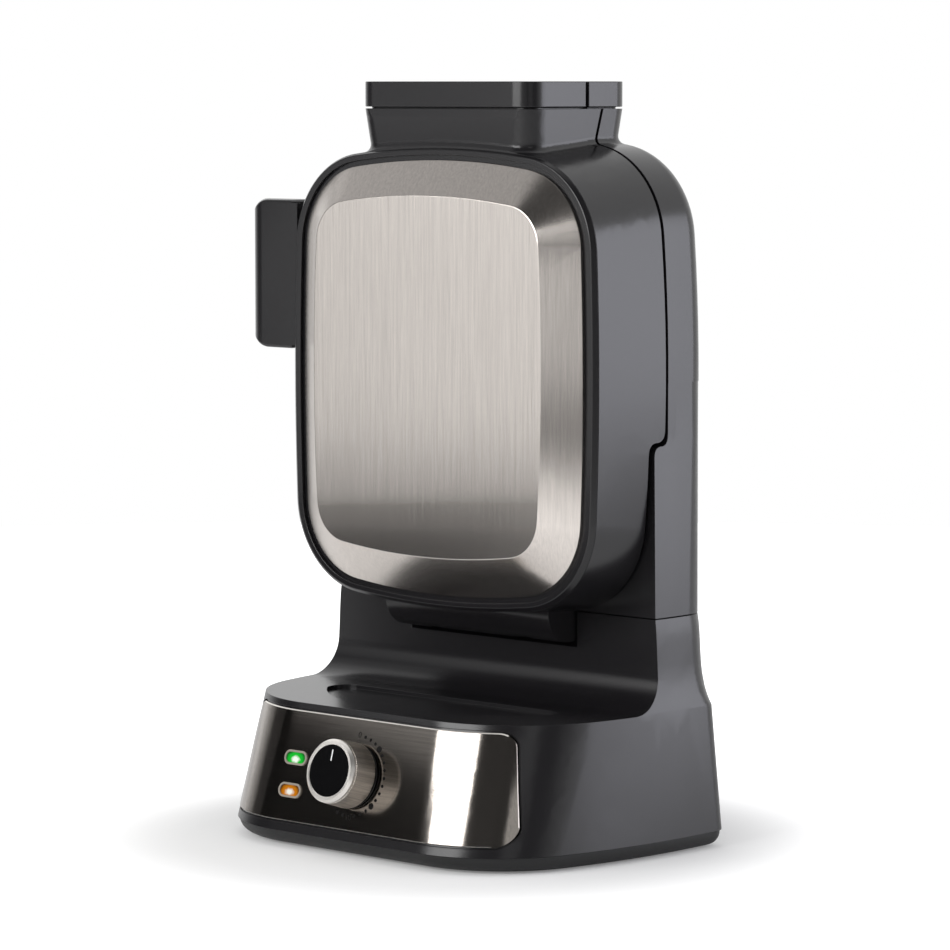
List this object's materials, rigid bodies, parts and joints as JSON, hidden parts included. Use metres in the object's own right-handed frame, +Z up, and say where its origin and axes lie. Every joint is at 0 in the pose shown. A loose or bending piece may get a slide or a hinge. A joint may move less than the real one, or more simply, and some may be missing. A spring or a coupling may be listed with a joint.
{
  "type": "vertical waffle maker",
  "caption": "Upright waffle maker: a stand with a control foot, a fixed rear half and a lid that folds down to the front, with a funnel on top, a side latch and a thermostat knob.",
  "frame": {"origin": "under the middle of the foot, on the table", "axes": "+X to the object's right, +Y to its back, +Z up"},
  "size_m": [0.2626, 0.167, 0.37],
  "materials": {
    "charcoal_plastic": "satin moulded charcoal",
    "black_plastic": "fine matt black",
    "foot_rubber": "matt",
    "zinc_steel": "zinc plated",
    "brushed_aluminium": "brushed across, clear coated",
    "lamp_bezel": "satin grey",
    "green_lens": "translucent green",
    "orange_lens": "translucent orange",
    "circuit_board": "lacquered",
    "phenolic": "dull brown black",
    "ceramic_white": "glazed",
    "wire_sleeve": "silicone sleeve",
    "plate_frame": "pressed sheet",
    "nonstick_plate": "non-stick coating on cast aluminium",
    "heater_tube": "sheathed tube",
    "reflector_sheet": "bright sheet",
    "bush_brass": "turned",
    "lid_bezel": "satin charcoal frame",
    "brushed_steel": "brushed upright",
    "spring_steel": "wire",
    "polished_aluminium": "turned and polished",
    "knob_disc": "gloss black",
    "pointer_white": "gloss white"
  },
  "bodies": {
    "stand": {"base_housing": "charcoal_plastic", "base_pan": "black_plastic", "rubber_feet": "foot_rubber", "base_screws": "zinc_steel", "control_panel": "brushed_aluminium", "lamp_bezels": "lamp_bezel", "green_lens": "green_lens", "orange_lens": "orange_lens", "lamp_board": "circuit_board", "thermostat": "phenolic", "terminal_block": "ceramic_white", "cord_gland": "black_plastic", "wiring": "wire_sleeve", "rear_housing": "charcoal_plastic", "rear_lip_ring": "charcoal_plastic", "rear_inner_frame": "plate_frame", "rear_baking_plate": "nonstick_plate", "rear_heater": "heater_tube", "rear_reflector": "reflector_sheet", "rear_plate_screws": "zinc_steel", "thermal_fuse": "phenolic", "latch_keeper": "black_plastic", "hinge_pin": "zinc_steel"},
    "lid": {"hinge_bushes": "bush_brass", "lid_housing": "charcoal_plastic", "lid_bezel": "lid_bezel", "steel_front_panel": "brushed_steel", "front_lip_ring": "charcoal_plastic", "front_inner_frame": "plate_frame", "front_baking_plate": "nonstick_plate", "front_heater": "heater_tube", "front_reflector": "reflector_sheet", "front_plate_screws": "zinc_steel", "latch_bracket": "black_plastic", "latch_pin": "zinc_steel"},
    "latch": {"latch_handle": "charcoal_plastic", "latch_claw": "black_plastic", "latch_spring": "spring_steel"},
    "knob": {"knob_body": "polished_aluminium", "knob_core": "black_plastic", "knob_face": "knob_disc", "knob_pointer": "pointer_white", "thermostat_shaft": "zinc_steel"}
  },
  "joints": [
    {"name": "lid_hinge", "type": "hinge", "parent": "stand", "child": "lid", "pos_m": [0, 0.0295, 0.1145], "axis": [1, 0, 0], "range_deg": [0, 85]},
    {"name": "latch_pivot", "type": "hinge", "parent": "lid", "child": "latch", "pos_m": [-0.1072, 0.0165, 0.273], "axis": [0, 0, 1], "range_deg": [0, 25], "stiffness_Nm_per_rad": 0.5},
    {"name": "knob_turn", "type": "hinge", "parent": "stand", "child": "knob", "pos_m": [0, -0.065, 0.03856], "axis": [0, 0.9632, -0.2689], "range_deg": [0, 200]}
  ]
}
